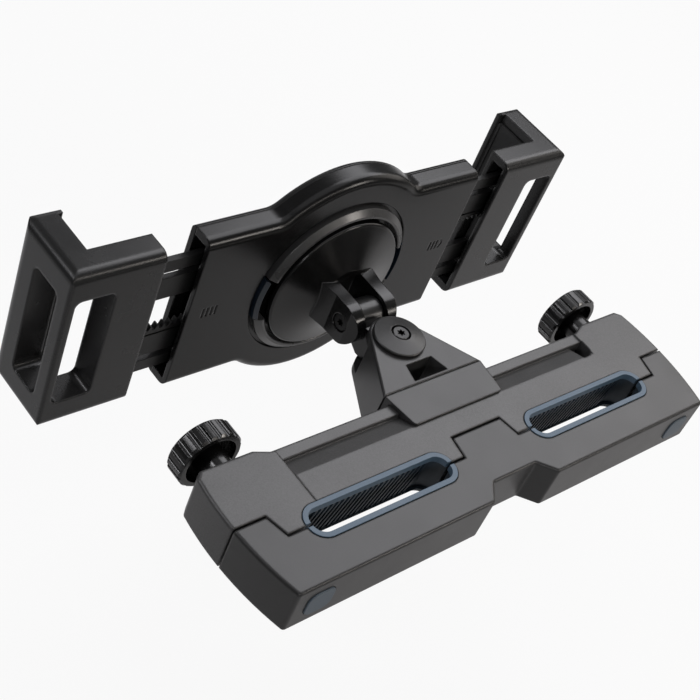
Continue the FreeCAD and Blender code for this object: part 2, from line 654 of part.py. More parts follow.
def dome():
    neck, rim = DOME_NECK_R, DOME_R
    mid = (0.5 * (neck + rim) + 1.0, DOME_Y - 1.9)
    at = lambda r, y: V(r, y, TILT_Z)
    face = closed_face([at(0, DOME_NECK_Y), at(neck, DOME_NECK_Y), (at(*mid), at(rim - 1.2, DOME_Y)),
                        (at(rim - 0.35, DOME_Y + 0.35), at(rim, DOME_Y + 1.2)), at(rim, DOME_BACK),
                        at(SPINDLE_R, DOME_BACK), at(SPINDLE_R, HOLD_Y + SHELL + 0.3),
                        at(0, HOLD_Y + SHELL + 0.3)])
    return face.revolve(V(0, 0, TILT_Z), V(0, 1, 0), 360)


def plate_screws(r, y0, y1, head):
    shapes = []
    for i in range(3):
        a = math.radians(90 + 120 * i)
        x, z = PLATE_SCREW_R * math.cos(a), TILT_Z + PLATE_SCREW_R * math.sin(a)
        one = rod_y(x, z, r, y0, y1)
        if head:
            top = HOLD_Y + SHELL + 0.3 + PLATE_T
            one = rod_y(x, z, r, y0, top).fuse(Part.makeCone(r, 2.6, 1.2, V(x, top - 1.25, z), V(0, 1, 0)))
            one = one.fuse(rod_y(x, z, 2.6, top - 0.06, top - 0.05))
        shapes.append(one)
    return shapes


def make_hub():
    screw_len = 8.0
    y_face = HOLD_Y + SHELL + 0.3
    body = clevis().fuse(dome()).cut(clevis_slot())
    body = body.cut(rod_x(TILT_Y, TILT_Z, TILT_SCREW_R + 0.05, -30, 30))
    body = body.cut(rod_x(TILT_Y, TILT_Z, SCREW_WELL_R + 0.4, -30, -EAR_OUT + SCREW_WELL + 1.2))
    body = body.cut(side([(TILT_Y + u, TILT_Z + v) for u, v in hexagon(8.2)], EAR_OUT - SCREW_WELL - 1.2, 30))
    for bore in plate_screws(SCREW_R - 0.02, y_face - screw_len, y_face + 1, False):
        body = body.cut(bore)
    save("hub", body.removeSplitter())
    shank = rod_x(TILT_Y, TILT_Z, TILT_SCREW_R, -EAR_OUT + SCREW_WELL, EAR_OUT - 0.6)
    head = rod_x(TILT_Y, TILT_Z, SCREW_WELL_R, -EAR_OUT + 0.4, -EAR_OUT + SCREW_WELL + 1.15)
    socket = star_x(TILT_Y, TILT_Z, -EAR_OUT, -EAR_OUT + 2.0)
    save("tilt_screw", shank.fuse(head).cut(socket).removeSplitter())
    nut = side([(TILT_Y + u, TILT_Z + v) for u, v in hexagon(8.0)], EAR_OUT - SCREW_WELL - 1.15, EAR_OUT - 0.4)
    save("tilt_nut", nut.cut(rod_x(TILT_Y, TILT_Z, TILT_SCREW_R + 0.03, 0, 30)))
    washers = []
    for s in (-1, 1):
        x0, x1 = sorted((s * (BARREL_HALF + 0.05), s * (EAR_IN - 0.02)))
        ring = rod_x(TILT_Y, TILT_Z, BARREL_R - 1.0, x0, x1)
        washers.append(ring.cut(rod_x(TILT_Y, TILT_Z, TILT_SCREW_R + 0.1, x0 - 1, x1 + 1)))
    save("tilt_washers", Part.makeCompound(washers))
    plate = rod_y(0, TILT_Z, PLATE_R, y_face, y_face + PLATE_T)
    for i in range(3):
        a = math.radians(90 + 120 * i)
        x, z = PLATE_SCREW_R * math.cos(a), TILT_Z + PLATE_SCREW_R * math.sin(a)
        top = y_face + PLATE_T
        plate = plate.cut(rod_y(x, z, SCREW_R + 0.02, y_face - 1, top + 1))
        plate = plate.cut(Part.makeCone(SCREW_R + 0.02, 2.7, 1.25, V(x, top - 1.25, z), V(0, 1, 0)))
    save("turntable_plate", plate)
    save("turntable_screws", Part.makeCompound(
        [s for s in plate_screws(SCREW_R - 0.05, y_face - screw_len + 0.5, y_face, True)]))


def at_height(points):
    return [V(x, HOLD_Y, TILT_Z + z) for x, z in points]


def bar_face(half_x, half_z, bulge, blend):
    """The cradle's outline seen from behind: a bar whose middle swells into a round."""
    foot = math.sqrt((bulge + blend) ** 2 - (half_z + blend) ** 2)
    k = bulge / (bulge + blend)
    jx, jz = foot * k, (half_z + blend) * k
    a = math.atan2(half_z + blend, foot)
    b = 0.5 * (a + math.pi / 2)
    mx, mz = foot - blend * math.cos(b), half_z + blend - blend * math.sin(b)
    pts = at_height([(half_x, -half_z), (half_x, half_z), (foot, half_z), (mx, mz), (jx, jz), (0, bulge),
                     (-jx, jz), (-mx, mz), (-foot, half_z), (-half_x, half_z), (-half_x, -half_z),
                     (-foot, -half_z), (-mx, -mz), (-jx, -jz), (0, -bulge), (jx, -jz), (mx, -mz),
                     (foot, -half_z)])
    p = pts
    return closed_face([p[0], p[1], p[2], (p[3], p[4]), (p[5], p[6]), (p[7], p[8]), p[9], p[10], p[11],
                        (p[12], p[13]), (p[14], p[15]), (p[16], p[17])])


def cradle_block():
    face = bar_face(CRADLE_HALF, HOLD_HALF_Z, BULGE_R, BULGE_FILLET)
    block = face.extrude(V(0, CRADLE_T, 0))
    def along(e):
        ends = [v.Point for v in e.Vertexes]
        at_back = all(near(p.y, HOLD_Y) for p in ends)
        return at_back and not all(near(abs(p.x), CRADLE_HALF) for p in ends)
    def in_front(e):
        ends = [v.Point for v in e.Vertexes]
        at_front = all(near(p.y, HOLD_Y + CRADLE_T) for p in ends)
        return at_front and not all(near(abs(p.x), CRADLE_HALF) for p in ends)
    block = block.makeFillet(HOLD_EDGE_R, [e for e in block.Edges if along(e)])
    return block.makeFillet(FRONT_EDGE_R, [e for e in block.Edges if in_front(e)])


def split_y():
    return HOLD_Y + CRADLE_T - FRONT_PLATE_T


def cradle_cavity():
    """The room that the slides run in, open at both ends."""
    inner = bar_face(CRADLE_HALF + 2, HOLD_HALF_Z - SHELL - 1.2, BULGE_R - SHELL - 1.2, BULGE_FILLET)
    inner.translate(V(0, SHELL, 0))
    return inner.extrude(V(0, split_y() - HOLD_Y - SHELL, 0))


def ring_sector(r0, r1, y0, y1, half_deg, centre_deg):
    a0, a1 = math.radians(centre_deg - half_deg), math.radians(centre_deg + half_deg)
    am = math.radians(centre_deg)
    at = lambda r, a: V(r * math.cos(a), y0, TILT_Z + r * math.sin(a))
    face = closed_face([at(r0, a0), at(r1, a0), (at(r1, am), at(r1, a1)), at(r0, a1),
                        (at(r0, am), at(r0, a0))])
    return face.extrude(V(0, y1 - y0, 0))


def collar():
    """The chamfered ring round the dome."""
    at = lambda r, y: V(r, y, TILT_Z)
    face = closed_face([at(RING_IN, RING_FRONT + 0.4), at(RING_IN + 0.4, RING_FRONT),
                        at(RING_OUT - RING_CHAMFER, RING_FRONT), at(RING_OUT, RING_FRONT + RING_CHAMFER * 0.8),
                        at(RING_OUT, RING_BACK), at(RING_IN, RING_BACK)])
    return face.revolve(V(0, 0, TILT_Z), V(0, 1, 0), 360)


def corner_screws(r, y0, y1):
    pts = [(sx * CORNER_SCREW[0], TILT_Z + sz * CORNER_SCREW[1]) for sx in (-1, 1) for sz in (-1, 1)]
    return [rod_y(x, z, r, y0, y1) for x, z in pts]


def pull_marks(s):
    """Upright dashes on the cradle's back, with a plain pointer on the right: pull the grips apart."""
    mid, half = TILT_Z + MARK_Z, MARK_H / 2
    count = 4 if s < 0 else 3
    marks = []
    for i in range(count):
        x = s * (MARK_X + i * MARK_PITCH)
        marks.append(box(x, x + MARK_W, HOLD_Y - 1, HOLD_Y + MARK_DEPTH, mid - half, mid + half))
    if s > 0:
        x = MARK_X + 3 * MARK_PITCH
        pts = [(x, mid - half), (x + MARK_W, mid - half), (x + 2.4 * MARK_W, mid), (x + MARK_W, mid + half),
               (x, mid + half), (x + 1.4 * MARK_W, mid)]
        marks.append(elevation(pts, HOLD_Y - 1, HOLD_Y + MARK_DEPTH))
    return marks


def make_cradle():
    block = cradle_block()
    y = split_y()
    rear = block.common(box(-FAR, FAR, 0, y, -FAR, FAR)).cut(cradle_cavity())
    rear = rear.cut(rod_y(0, TILT_Z, WELL_R, HOLD_Y - 1, HOLD_Y + WELL_DEPTH))
    rear = rear.cut(rod_y(0, TILT_Z, SPINDLE_R + 0.3, HOLD_Y - 1, HOLD_Y + SHELL + 1))
    posts = []
    for post in corner_screws(PILLAR_R, HOLD_Y + SHELL - 0.5, y):
        posts.append(post.common(block))
    rear = rear.fuse(posts)
    for bore in corner_screws(SCREW_R, HOLD_Y + 3, y + 1):
        rear = rear.cut(bore)
    for mark in pull_marks(-1) + pull_marks(1):
        rear = rear.cut(mark)
    slots = ring_sector(RING_IN - 0.3, RING_OUT + 1.4, HOLD_Y - 2, HOLD_Y + SHELL + 0.5, TAB_HALF_DEG + 1, 0)
    rear = rear.cut(slots).cut(mirrored(slots))
    save("cradle_rear_shell", rear.removeSplitter())
    front = block.common(box(-FAR, FAR, y + 0.05, HOLD_Y + CRADLE_T, -FAR, FAR))
    front = front.fuse(rod_y(0, TILT_Z, PINION_BORE - 0.1, SLIDE_Y - 0.2, y + 1))
    guides = [box(-CRADLE_HALF + 4, CRADLE_HALF - 4, SLIDE_Y + SLIDE_T + 0.2, y + 0.2, TILT_Z + s * v - 1,
                  TILT_Z + s * v + 1) for s in (-1, 1) for v in (15.5, 27.0)]
    front = front.fuse(guides)
    for bore, head in zip(corner_screws(SCREW_R + 0.1, y - 1, FAR),
                          corner_screws(2.9, HOLD_Y + CRADLE_T - 1.6, FAR)):
        front = front.cut(bore).cut(head)
    save("cradle_front_plate", front.removeSplitter())
    screws = []
    for shank, head, key in zip(corner_screws(SCREW_R - 0.05, y - 5, y + 2),
                                corner_screws(2.8, HOLD_Y + CRADLE_T - 1.55, HOLD_Y + CRADLE_T - 0.3),
                                corner_screws(1.0, HOLD_Y + CRADLE_T - 1.1, FAR)):
        screws.append(shank.fuse(head).cut(key))
    save("cradle_screws", Part.makeCompound(screws))
    long, place, wide, thick = PAD_STRIP
    face = HOLD_Y + CRADLE_T
    strip = [box(-long, long, face, face + thick, TILT_Z + s * place - wide, TILT_Z + s * place + wide)
             for s in (-1, 1)]
    save("cradle_pads", Part.makeCompound(strip))
    ring = collar().cut(rod_y(0, TILT_Z, FAR, HOLD_Y + WELL_DEPTH, FAR))
    gap = ring_sector(RING_IN - 2, RING_OUT + 2, RING_FRONT - 2, RING_BACK + 2, TAB_HALF_DEG + TAB_CLEAR_DEG, 0)
    save("collar_ring", ring.cut(gap).cut(mirrored(gap)))
    tab = collar().common(ring_sector(RING_IN + TAB_TRAVEL + 0.4, RING_OUT + 2, RING_FRONT - 2, RING_BACK + 2,
                                      TAB_HALF_DEG, 0))
    tab.translate(V(0.8, 0, 0))
    save("release_tab_right", tab)
    save("release_tab_left", mirrored(tab))


def pinion():
    r = MODULE * PINION_TEETH / 2
    body = rod_y(0, TILT_Z, r - 1.2 * MODULE, SLIDE_Y, SLIDE_Y + SLIDE_T)
    for i in range(PINION_TEETH):
        a = 2 * math.pi * (i + 0.5) / PINION_TEETH
        pts = [(r - 1.6, -0.95), (r, -0.62), (r + 0.85, -0.3), (r + 0.85, 0.3), (r, 0.62), (r - 1.6, 0.95)]
        tooth = [(u * math.cos(a) - v * math.sin(a), TILT_Z + u * math.sin(a) + v * math.cos(a)) for u, v in pts]
        body = body.fuse(elevation(tooth, SLIDE_Y, SLIDE_Y + SLIDE_T))
    return body.cut(rod_y(0, TILT_Z, PINION_BORE, SLIDE_Y - 1, SLIDE_Y + SLIDE_T + 1)).removeSplitter()


def rack(x0, x1):
    """The toothed bar of the left slide, below the pinion; a tooth gap lies under its middle."""
    r = MODULE * PINION_TEETH / 2
    pitch = math.pi * MODULE
    top = TILT_Z - r - 1.2
    body = box(x0, x1, SLIDE_Y, SLIDE_Y + SLIDE_T, TILT_Z - RACK_BACK, top)
    teeth = []
    first = math.ceil(x0 / pitch - 0.5)
    last = math.floor(x1 / pitch - 0.5)
    for i in range(first, last):
        x = (i + 1.0) * pitch
        pts = [(x - 1.05, top - 0.2), (x - 0.62, TILT_Z - r), (x - 0.3, TILT_Z - r + 0.85),
               (x + 0.3, TILT_Z - r + 0.85), (x + 0.62, TILT_Z - r), (x + 1.05, top - 0.2)]
        teeth.append(elevation(pts, SLIDE_Y, SLIDE_Y + SLIDE_T))
    return body.fuse(teeth)


def slide_left():
    x_root0, x_root1 = -WINDOW_IN + GRIP_WALL + ROOT_FIT, -ROOT_IN
    y0, y1 = SLIDE_Y, SLIDE_Y + SLIDE_T
    root = box(x_root0, x_root1, y0, y1, TILT_Z - RAIL_Z[1], TILT_Z + RAIL_Z[1])
    parts = []
    for s in (-1, 1):
        for a, b in (TONGUE, RAIL_Z):
            z0, z1 = sorted((TILT_Z + s * a, TILT_Z + s * b))
            parts.append(box(x_root0, -SLIDE_END, y0, y1, z0, z1))
    return root.fuse(parts + [rack(x_root0, RACK_END)]).removeSplitter()


def turned(shape):
    """Half a turn about the pinion's axis: the right slide is the left one turned over."""
    copy = shape.copy()
    copy.rotate(V(0, 0, TILT_Z), V(0, 1, 0), 180)
    return copy


def window_box(x0, x1, y0, y1, along_y):
    z0, z1, r = TILT_Z - WINDOW_HALF_Z, TILT_Z + WINDOW_HALF_Z, WINDOW_R
    hole = box(x0, x1, y0, y1, z0, z1)
    def corner(e):
        p, q = e.Vertexes[0].Point, e.Vertexes[-1].Point
        moved = abs(p.y - q.y) if along_y else abs(p.x - q.x)
        return moved > 1
    return hole.makeFillet(r, [e for e in hole.Edges if corner(e)])


def grip_right():
    """A hooked shell: rear plate, deep end wall and front lip, with a window in plate and wall."""
    z0, z1 = TILT_Z - HOLD_HALF_Z, TILT_Z + HOLD_HALF_Z
    yb, yf = HOLD_Y, GRIP_FRONT
    outline = plan([(GRIP_IN, yb), (GRIP_OUT, yb), (GRIP_OUT, yf), (LIP_IN, yf), (LIP_IN, yf - LIP_T),
                    (END_WALL_IN, yf - LIP_T), (END_WALL_IN, yb + GRIP_T), (GRIP_IN, yb + GRIP_T)], z0, z1)
    outline = rounded(outline, LIP_CORNER_R, lambda p: near(p.x, GRIP_OUT) and near(p.y, yf))
    outline = rounded(outline, GRIP_CORNER_R, lambda p: near(p.x, GRIP_OUT) and near(p.y, yb))
    outline = rounded(outline, 1.2, lambda p: near(p.x, LIP_IN))
    sleeve = box(GRIP_IN - 5, GRIP_OUT + 5, yb, yf, z0, z1)
    sleeve = rounded(sleeve, HOLD_EDGE_R, lambda p: near(p.y, yb) and (near(p.z, z0) or near(p.z, z1)))
    sleeve = sleeve.makeFillet(LIP_EDGE_R, [e for e in sleeve.Edges if all(near(v.Y, yf) for v in e.Vertexes)
                                            and near(e.Vertexes[0].Z, e.Vertexes[-1].Z)])
    cap = box(0, GRIP_OUT, yb - 5, yf + 5, z0, z1)
    cap = cap.makeFillet(HOLD_EDGE_R, [e for e in cap.Edges if all(near(v.X, GRIP_OUT) for v in e.Vertexes)
                                       and near(e.Vertexes[0].Z, e.Vertexes[-1].Z)])
    body = outline.common(sleeve).common(cap)
    w = GRIP_WALL
    cavity = box(GRIP_IN - 1, WINDOW_IN - w, yb + w, yb + GRIP_T - w, z0 + w + 1.2, z1 - w - 1.2)
    body = body.cut(cavity)
    body = body.cut(window_box(WINDOW_IN, POST_IN, yb - 2, yb + GRIP_T + 2, True))
    return body.cut(window_box(END_WALL_IN - 2, GRIP_OUT + 2, END_WINDOW[0], END_WINDOW[1], False))


def grip_pad_right():
    """A soft lining on the inside of the end wall, with the wall's window in it."""
    y0, y1 = HOLD_Y + GRIP_T + 0.6, GRIP_FRONT - LIP_T
    z0, z1 = TILT_Z - HOLD_HALF_Z + 5, TILT_Z + HOLD_HALF_Z - 5
    t = GRIP_PAD_T
    wall = box(END_WALL_IN - t, END_WALL_IN, y0, y1, z0, z1)
    hook = box(LIP_IN + 0.8, END_WALL_IN, y1 - t, y1, z0, z1)
    return wall.fuse(hook).cut(window_box(END_WALL_IN - 4, END_WALL_IN + 2, y0 - 5, END_WINDOW[1], False)).removeSplitter()


def slide_screw_points():
    x = 0.5 * (ROOT_IN + WINDOW_IN - GRIP_WALL - ROOT_FIT)
    return [(x, TILT_Z + s * SLIDE_SCREW_Z) for s in (-1, 1)]


def make_grips():
    y0, y1 = SLIDE_Y, SLIDE_Y + SLIDE_T
    front = HOLD_Y + GRIP_T - GRIP_WALL
    left_slide = slide_left()
    for x, z in slide_screw_points():
        left_slide = left_slide.cut(rod_y(-x, z, SCREW_R + 0.05, y0 - 1, y1 + 1))
    save("slide_left", left_slide)
    save("slide_right", turned(left_slide))
    grip, pad, screws = grip_right(), grip_pad_right(), []
    for x, z in slide_screw_points():
        grip = grip.fuse(rod_y(x, z, 3.2, y1 + 0.02, front + 0.2)).cut(rod_y(x, z, SCREW_R, y1 - 1, front + 0.8))
        shank = rod_y(x, z, SCREW_R - 0.02, y0 - 0.1, front + 0.7)
        screws.append(shank.fuse(rod_y(x, z, 2.6, y0 - 1.5, y0 - 0.02)).cut(hex_y(x, z, 2.0, y0 - 2, y0 - 0.8)))
    group = Part.makeCompound(screws)
    for name, put in (("right", lambda s: s), ("left", turned)):
        save("grip_" + name, put(grip.removeSplitter()))
        save("grip_pad_" + name, put(pad))
        save("slide_screws_" + name, put(group))
    save("sync_pinion", pinion())


def make_all():
    make_rear_jaw()
    make_front_jaw()
    make_liners()
    make_clamps()
    make_carriage()
    make_link()
    make_hub()
    make_cradle()
    make_grips()


make_all()
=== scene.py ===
# %% [markdown]
# # A headrest tablet mount
#
# This mount clamps round the two posts of a car headrest and holds a tablet for the back seat.
# Nearly everything in it is hard moulded plastic. The rest is the rubber that lines the two slots,
# the foam that touches the tablet, the steel screws and the nylon washers.
#
# The shapes come from the CAD model, because every piece of the real one is rigid. What is left
# for Blender is how the pieces look: the grain in the plastic, the sheen on the edges, the small
# marks that a mould and a thumb leave behind, and the light that shows them.
#
# We could start with the light or with the plastic. We start with the frame, since the camera
# and each finish refer to it.

# %% Load the frame
import json
import math

import bpy
from mathutils import Matrix, Vector

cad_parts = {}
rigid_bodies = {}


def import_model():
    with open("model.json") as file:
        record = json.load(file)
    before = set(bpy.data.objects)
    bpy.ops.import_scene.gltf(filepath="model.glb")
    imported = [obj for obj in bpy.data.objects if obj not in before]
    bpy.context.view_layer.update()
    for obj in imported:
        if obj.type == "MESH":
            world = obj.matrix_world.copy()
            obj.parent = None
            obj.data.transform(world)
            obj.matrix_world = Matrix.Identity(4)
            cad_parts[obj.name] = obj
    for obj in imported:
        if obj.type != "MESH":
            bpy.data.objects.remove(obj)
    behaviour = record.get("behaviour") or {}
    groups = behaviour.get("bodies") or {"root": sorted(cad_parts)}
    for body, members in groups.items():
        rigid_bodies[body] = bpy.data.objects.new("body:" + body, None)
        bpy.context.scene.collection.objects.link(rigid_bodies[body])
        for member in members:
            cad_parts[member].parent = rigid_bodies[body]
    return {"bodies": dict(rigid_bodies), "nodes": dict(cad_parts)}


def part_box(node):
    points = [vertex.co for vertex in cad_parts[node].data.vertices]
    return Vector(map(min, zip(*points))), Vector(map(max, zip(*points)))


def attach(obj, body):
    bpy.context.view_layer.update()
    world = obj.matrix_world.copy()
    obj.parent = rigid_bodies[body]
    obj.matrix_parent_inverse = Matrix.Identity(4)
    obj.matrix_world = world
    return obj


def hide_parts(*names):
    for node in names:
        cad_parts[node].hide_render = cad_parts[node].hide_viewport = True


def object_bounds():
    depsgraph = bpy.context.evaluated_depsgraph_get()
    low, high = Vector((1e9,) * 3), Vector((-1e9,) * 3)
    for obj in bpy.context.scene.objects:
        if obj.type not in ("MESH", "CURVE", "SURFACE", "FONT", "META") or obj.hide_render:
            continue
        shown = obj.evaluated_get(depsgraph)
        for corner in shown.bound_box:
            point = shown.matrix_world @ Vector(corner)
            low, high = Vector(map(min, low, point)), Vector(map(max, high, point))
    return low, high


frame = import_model()
nodes = frame["nodes"]
cad_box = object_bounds()
scene = bpy.context.scene
print("box of the model, in metres:", [[round(v, 4) for v in corner] for corner in cad_box])

# %% [markdown]
# ## The camera
#
# The picture was taken from the post side, above and to the left, so that both slots show and the
# cradle is seen from behind. A camera can be placed by eye, or worked out from points whose true
# places are known. The second way was used here: it gave where the lens stands and three
# directions, which are rightwards, downwards and forwards in the picture.
#
# The middle of the picture isn't quite where the lens points. A small shift moves the picture on
# the film without turning the camera.

# %% Camera
FILM = 36.0
PICTURE_SIDE = 700.0
FOCAL_PIXELS = 1399.11
MIDDLE_PIXEL = (372.81, 354.27)
EYE = Vector((-0.36767, -0.17508, 0.37300))
RIGHTWARDS = Vector((0.72997528, -0.6021517, 0.32334103))
DOWNWARDS = Vector((-0.25730624, -0.68039439, -0.68619019))
NEAREST, FARTHEST = 0.01, 20.0


def look_through(eye, rightwards, downwards):
    """Make a camera whose picture has these directions."""
    data = bpy.data.cameras.new("camera")
    data.sensor_width = FILM
    data.lens = FILM * FOCAL_PIXELS / PICTURE_SIDE
    data.shift_x = (PICTURE_SIDE / 2 - MIDDLE_PIXEL[0]) / PICTURE_SIDE
    data.shift_y = (MIDDLE_PIXEL[1] - PICTURE_SIDE / 2) / PICTURE_SIDE
    data.clip_start, data.clip_end = NEAREST, FARTHEST
    camera = bpy.data.objects.new("camera", data)
    up = -downwards
    backwards = rightwards.cross(up)
    turn = Matrix((rightwards, up, backwards)).transposed()
    camera.matrix_world = Matrix.Translation(eye) @ turn.to_4x4()
    scene.collection.objects.link(camera)
    return camera


scene.camera = look_through(EYE, RIGHTWARDS, DOWNWARDS)
scene.view_settings.view_transform = "Standard"
print("lens:", round(scene.camera.data.lens, 2), "mm")

# %% [markdown]
# ## The floor
#
# Product pictures of black plastic are made in a white room: the plastic itself gives back very
# little light, and what we see on it is mostly the room's reflection. So the room matters as much
# as the finish.
#
# More light on a floor would make it white, and would light the mount from below too. Instead,
# the floor is lit like everything else and keeps the shadow, and a Light Path node tells it which
# ray is looking. To the camera most of it is plain white, and in a mirror a little of it is, as a
# sheet of paper under studio lamps would be. It lies low enough for the cradle to be turned
# upright above it.

# %% Floor
MM = 0.001
FLOOR_GAP = 12 * MM
FLOOR_HALF = 3.0
PALE = (0.62, 0.62, 0.62, 1.0)
FLOOR_ROUGH = 0.7
FLOOR_MIRROR = 0.1
WHITE_SEEN = 0.9
WHITE_MIRRORED = 0.1


def link(tree, out_socket, in_socket):
    tree.links.new(out_socket, in_socket)


def new_material(name):
    """A new material, with its node tree and its principled shader."""
    material = bpy.data.materials.new(name)
    material.use_nodes = True
    tree = material.node_tree
    return material, tree, tree.nodes["Principled BSDF"]


def white_share(tree, least=0.0):
    """How much plain white there is, for the kind of ray that meets it."""
    rays = tree.nodes.new("ShaderNodeLightPath")
    share = tree.nodes.new("ShaderNodeValue").outputs[0]
    share.default_value = least
    for ray, weight in (("Is Camera Ray", WHITE_SEEN),
                        ("Is Glossy Ray", WHITE_MIRRORED),
                        ("Is Transmission Ray", WHITE_MIRRORED)):
        add = tree.nodes.new("ShaderNodeMath")
        add.operation = "MULTIPLY_ADD"
        link(tree, rays.outputs[ray], add.inputs[0])
        add.inputs[1].default_value = weight
        link(tree, share, add.inputs[2])
        share = add.outputs[0]
    return share


def white_to_the_eye(name, colour):
    """A floor that keeps its shadows, and looks white to the camera and in reflections."""
    material, tree, shader = new_material(name)
    shader.inputs["Base Color"].default_value = colour
    shader.inputs["Roughness"].default_value = FLOOR_ROUGH
    shader.inputs["Specular IOR Level"].default_value = FLOOR_MIRROR
    white = tree.nodes.new("ShaderNodeEmission")
    mix = tree.nodes.new("ShaderNodeMixShader")
    link(tree, white_share(tree), mix.inputs[0])
    link(tree, shader.outputs[0], mix.inputs[1])
    link(tree, white.outputs[0], mix.inputs[2])
    link(tree, mix.outputs[0], tree.nodes["Material Output"].inputs["Surface"])
    return material


def lay_floor(level, half):
    """A square floor, which is part of the stage and not of the mount."""
    mesh = bpy.data.meshes.new("floor")
    corners = [(x * half, y * half, level) for x, y in ((-1, -1), (1, -1), (1, 1), (-1, 1))]
    mesh.from_pydata(corners, [], [(0, 1, 2, 3)])
    floor = bpy.data.objects.new("floor", mesh)
    scene.collection.objects.link(floor)
    mesh.materials.append(white_to_the_eye("pale_floor", PALE))


turn_height = sum(corner.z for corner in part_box("cradle_rear_shell")) / 2
reach = cad_box[1][0]
level = turn_height - reach - FLOOR_GAP
lay_floor(level, FLOOR_HALF)
print("floor at", round(level / MM, 1), "mm")

# %% [markdown]
# ## The lamps
#
# Two kinds of lamp do two jobs. Wide lamps lie where the flat tops mirror them, over the right
# shoulder of the mount, and give its tops their even grey. Small ones stand low at the corners of
# the room. A flat face never mirrors those, but a rounded edge does, and so they draw the thin
# bright lines that make the plastic look hard.
#
# The walls of the room do what the floor does: the camera sees them white, and they light the
# mount hardly at all.

# %% Lamps
MIDDLE = Vector((0.0, 0.05, 0.0))
COOL = (0.97, 0.965, 1.0)
WARM = (1.0, 0.94, 0.88)
WHITE = (1.0, 1.0, 1.0, 1.0)
DIM = 0.03

# where it stands, its sides in metres, its watts, its tint
LAMPS = {
    "over_right": ((0.62, 0.36, 0.80), (0.70, 0.70), 6.5, COOL),
    "overhead": ((0.0, 0.1, 1.1), (1.20, 0.90), 3.0, COOL),
    "right": ((1.2, 0.0, 0.55), (0.80, 0.80), 3.0, WARM),
    "back": ((0.1, 1.2, 0.6), (1.20, 0.50), 2.0, COOL),
    "front_strip": ((0.0, -0.9, 0.66), (0.90, 0.12), 2.0, WARM),
    "front_right": ((0.7, -0.8, 0.5), (0.25, 0.25), 3.0, WARM),
    "left_back": ((-0.7, 0.5, 0.6), (0.10, 0.40), 2.0, COOL),
    "left_front": ((-0.65, -0.75, 0.5), (0.12, 0.20), 2.0, COOL),
}


def hang_lamp(name, place, size, power, tint):
    """A lamp with a flat face, turned to the middle of the mount."""
    data = bpy.data.lights.new(name, "AREA")
    data.shape = "RECTANGLE"
    data.size, data.size_y = size
    data.energy = power
    data.color = tint
    lamp = bpy.data.objects.new(name, data)
    lamp.location = place
    lamp.rotation_euler = (MIDDLE - Vector(place)).to_track_quat("-Z", "Y").to_euler()
    scene.collection.objects.link(lamp)


def dim_room(least):
    """A world that is white to the camera and gives the mount this much light."""
    world = bpy.data.worlds.new("dim_room")
    world.use_nodes = True
    tree = world.node_tree
    sky = tree.nodes["Background"]
    sky.inputs["Color"].default_value = WHITE
    link(tree, white_share(tree, least), sky.inputs["Strength"])
    return world


for lamp_name, facts in LAMPS.items():
    hang_lamp(lamp_name, *facts)
scene.world = dim_room(DIM)
print("lamps:", len(LAMPS), "with", sum(facts[2] for facts in LAMPS.values()), "W in all")

# %% [markdown]
# ## The parts of a finish
#
# The mould of a black plastic part is etched with a fine grain, which scatters the light and
# hides scratches. Seen close, the surface is a field of tiny bumps; seen from a step away, it is
# a soft sheen. Along each edge the plastic is a little rounded, so the edge catches a thin line
# of light even where the CAD has a sharp corner.
#
# We could paint the grain as a picture. Noise in object space is better here, since it has no
# seams and its size is set in millimetres. A bevel node rounds the edges for the light alone.
# Each of these is one or two nodes, and each gets a helper here.

# %% Helpers for shader nodes
EDGE_SAMPLES = 8


def object_place(tree):
    """Where a point of the surface lies, in the object's own space."""
    return tree.nodes.new("ShaderNodeTexCoord").outputs["Object"]


def add_noise(tree, place, grain_mm, detail=3.0):
    """Noise whose bumps are about grain_mm wide."""
    node = tree.nodes.new("ShaderNodeTexNoise")
    node.inputs["Scale"].default_value = 1.0 / (grain_mm * MM)
    node.inputs["Detail"].default_value = detail
    link(tree, place, node.inputs["Vector"])
    return node.outputs["Fac"]


def add_range(tree, value, low_in, high_in, low_out, high_out):
    """The value, stretched from one range to another."""
    node = tree.nodes.new("ShaderNodeMapRange")
    limits = {"From Min": low_in, "From Max": high_in, "To Min": low_out, "To Max": high_out}
    for key, number in limits.items():
        node.inputs[key].default_value = number
    link(tree, value, node.inputs["Value"])
    return node.outputs["Result"]


def add_mix(tree, amount, first, second):
    """A blend of two colours; each is a colour or a socket."""
    node = tree.nodes.new("ShaderNodeMix")
    node.data_type = "RGBA"
    link(tree, amount, node.inputs["Factor"])
    for key, value in (("A", first), ("B", second)):
        socket = next(s for s in node.inputs if s.name == key and s.type == "RGBA")
        if isinstance(value, tuple):
            socket.default_value = value
        else:
            link(tree, value, socket)
    return next(s for s in node.outputs if s.type == "RGBA")


def add_edges(tree, round_mm):
    """A normal that is rounded at sharp edges."""
    node = tree.nodes.new("ShaderNodeBevel")
    node.samples = EDGE_SAMPLES
    node.inputs["Radius"].default_value = round_mm * MM
    return node.outputs["Normal"]


def add_bump(tree, height, depth_mm, strength, normal):
    """The normal, tilted by the slopes of a height."""
    node = tree.nodes.new("ShaderNodeBump")
    node.inputs["Distance"].default_value = depth_mm * MM
    node.inputs["Strength"].default_value = strength
    link(tree, height, node.inputs["Height"])
    link(tree, normal, node.inputs["Normal"])
    return node.outputs["Normal"]


def shade(colour, by):
    """A colour made lighter or darker."""
    return tuple(min(1.0, c * by) for c in colour[:3]) + (1.0,)


def grey(level, warmth=0.0):
    """A grey, or one that leans a little to red."""
    return (level * (1.0 + warmth), level, level * (1.0 - warmth), 1.0)


print("edges are rounded with", EDGE_SAMPLES, "samples")

